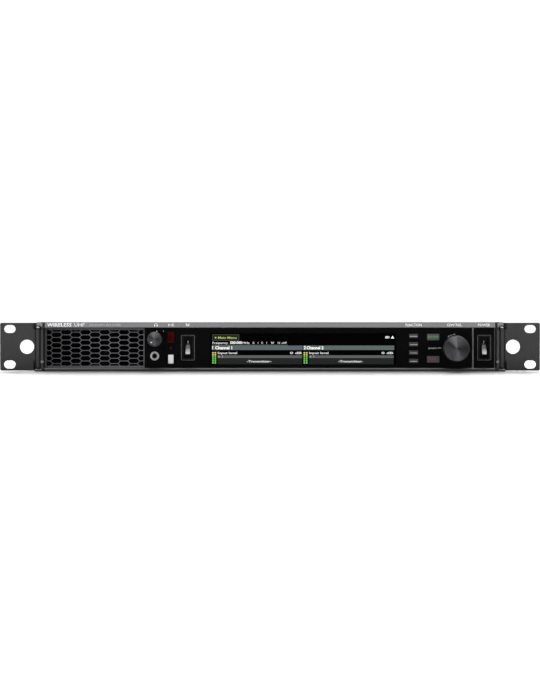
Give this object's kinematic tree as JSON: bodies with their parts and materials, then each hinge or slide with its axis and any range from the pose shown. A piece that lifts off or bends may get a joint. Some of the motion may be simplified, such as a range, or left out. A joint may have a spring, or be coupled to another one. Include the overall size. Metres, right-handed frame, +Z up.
{
  "type": "wireless receiver unit",
  "caption": "Rack-mount wireless audio receiver with a wide display, honeycomb air intake, knobs, push buttons, guarded levers and bolt-on rack ears.",
  "frame": {"origin": "centre of the underside's bounding box", "axes": "+Z up, the front panel faces -Y, +X to the right as the front is seen"},
  "size_m": [0.4826, 0.343, 0.044],
  "materials": {
    "case_black": "fine-textured black powder coat",
    "screw_black": "black oxide",
    "screw_zinc": "zinc plated",
    "bezel_grey": "satin grey, legends in white",
    "fascia_black": "high gloss black",
    "trim_silver": "satin",
    "grille_grey": "satin charcoal",
    "filter_foam": "open-cell foam",
    "knob_metal": "spun face, fluted side",
    "shaft_steel": "turned",
    "steel_bright": "zinc plated sheet",
    "button_black": "satin moulded",
    "button_grey": "satin moulded",
    "button_silver": "satin silver",
    "part_black": "moulded",
    "housing_black": "fine matt",
    "lever_chrome": "polished",
    "jack_ring": "nickel plated",
    "window_red": "infrared filter red",
    "lamp_red": "clear red",
    "screen_glass": "gloss black glass",
    "screen_panel": "panel",
    "board_green": "solder mask",
    "sink_aluminium": "extruded, anodised",
    "ribbon_grey": "flat flex",
    "socket_nickel": "nickel plated brass"
  },
  "bodies": {
    "chassis": {"chassis_tray": "case_black", "top_cover": "case_black", "rear_panel": "case_black", "rack_ear_left": "case_black", "rack_ear_right": "case_black", "cover_screws": "screw_black", "rear_screws": "screw_zinc", "ear_screws": "screw_black", "front_bezel": "bezel_grey", "end_cap_left": "bezel_grey", "end_cap_right": "bezel_grey", "fascia_panel": "fascia_black", "power_fascia": "fascia_black", "divider_trim": "trim_silver", "intake_grille": "grille_grey", "dust_filter": "filter_foam", "volume_pot": "steel_bright", "encoder_body": "steel_bright", "button_switches": "part_black", "rf_switch_housing": "housing_black", "power_switch_housing": "housing_black", "switch_pins": "shaft_steel", "phones_jack": "part_black", "phones_jack_nut": "jack_ring", "sync_window": "window_red", "sync_sensor": "part_black", "sync_led": "lamp_red", "display_window": "screen_glass", "display_panel": "screen_panel", "display_frame": "steel_bright", "front_board": "board_green", "fan_frames": "part_black", "main_board": "board_green", "radio_shields": "steel_bright", "heat_sink": "sink_aluminium", "board_standoffs": "shaft_steel", "power_supply": "board_green", "power_supply_cover": "steel_bright", "display_ribbon": "ribbon_grey", "mains_inlet": "part_black", "network_ports": "steel_bright", "line_jacks": "part_black", "xlr_sockets": "socket_nickel", "antenna_sockets": "socket_nickel"},
    "volume_knob": {"volume_knob": "knob_metal", "volume_shaft": "shaft_steel"},
    "control_plunger": {"encoder_plunger": "shaft_steel"},
    "control_knob": {"control_knob": "knob_metal", "encoder_shaft": "shaft_steel"},
    "rf_lever": {"rf_switch_lever": "lever_chrome"},
    "power_lever": {"power_switch_lever": "lever_chrome"},
    "fan_rotor_left": {"fan_rotor_left": "part_black"},
    "fan_rotor_right": {"fan_rotor_right": "part_black"},
    "function_button_1": {"function_button_1": "button_black"},
    "function_button_2": {"function_button_2": "button_black"},
    "function_button_3": {"function_button_3": "button_black"},
    "function_button_4": {"function_button_4": "button_black"},
    "enter_button": {"enter_button": "button_grey"},
    "exit_button": {"exit_button": "button_grey"},
    "sync_button": {"sync_button": "button_silver"}
  },
  "joints": [
    {"name": "volume_turn", "type": "hinge", "parent": "chassis", "child": "volume_knob", "pos_m": [-0.103, -0.1555, 0.0287], "axis": [0, 1, 0], "range_deg": [0, 270]},
    {"name": "control_push", "type": "slide", "parent": "chassis", "child": "control_plunger", "axis": [0, 1, 0], "range_m": [0, 0.001], "stiffness_N_per_m": 1500, "springref_m": -0.001},
    {"name": "control_turn", "type": "hinge", "parent": "control_plunger", "child": "control_knob", "pos_m": [0.1661, -0.1555, 0.0203], "axis": [0, 1, 0], "continuous": true},
    {"name": "rf_lever_flip", "type": "hinge", "parent": "chassis", "child": "rf_lever", "pos_m": [-0.0733, -0.1487, 0.0212], "axis": [-1, 0, 0], "range_deg": [0, 48]},
    {"name": "power_lever_flip", "type": "hinge", "parent": "chassis", "child": "power_lever", "pos_m": [0.1912, -0.1487, 0.0212], "axis": [-1, 0, 0], "range_deg": [0, 48]},
    {"name": "fan_left_spin", "type": "hinge", "parent": "chassis", "child": "fan_rotor_left", "pos_m": [-0.1775, -0.1335, 0.0213], "axis": [0, 1, 0], "continuous": true},
    {"name": "fan_right_spin", "type": "hinge", "parent": "chassis", "child": "fan_rotor_right", "pos_m": [-0.135, -0.1335, 0.0213], "axis": [0, 1, 0], "continuous": true},
    {"name": "function_1_press", "type": "slide", "parent": "chassis", "child": "function_button_1", "axis": [0, 1, 0], "range_m": [0, 0.0008], "stiffness_N_per_m": 700, "springref_m": -0.001},
    {"name": "function_2_press", "type": "slide", "parent": "chassis", "child": "function_button_2", "axis": [0, 1, 0], "range_m": [0, 0.0008], "stiffness_N_per_m": 700, "springref_m": -0.001},
    {"name": "function_3_press", "type": "slide", "parent": "chassis", "child": "function_button_3", "axis": [0, 1, 0], "range_m": [0, 0.0008], "stiffness_N_per_m": 700, "springref_m": -0.001},
    {"name": "function_4_press", "type": "slide", "parent": "chassis", "child": "function_button_4", "axis": [0, 1, 0], "range_m": [0, 0.0008], "stiffness_N_per_m": 700, "springref_m": -0.001},
    {"name": "enter_press", "type": "slide", "parent": "chassis", "child": "enter_button", "axis": [0, 1, 0], "range_m": [0, 0.0008], "stiffness_N_per_m": 700, "springref_m": -0.001},
    {"name": "exit_press", "type": "slide", "parent": "chassis", "child": "exit_button", "axis": [0, 1, 0], "range_m": [0, 0.0008], "stiffness_N_per_m": 700, "springref_m": -0.001},
    {"name": "sync_press", "type": "slide", "parent": "chassis", "child": "sync_button", "axis": [0, 1, 0], "range_m": [0, 0.0008], "stiffness_N_per_m": 700, "springref_m": -0.001}
  ]
}
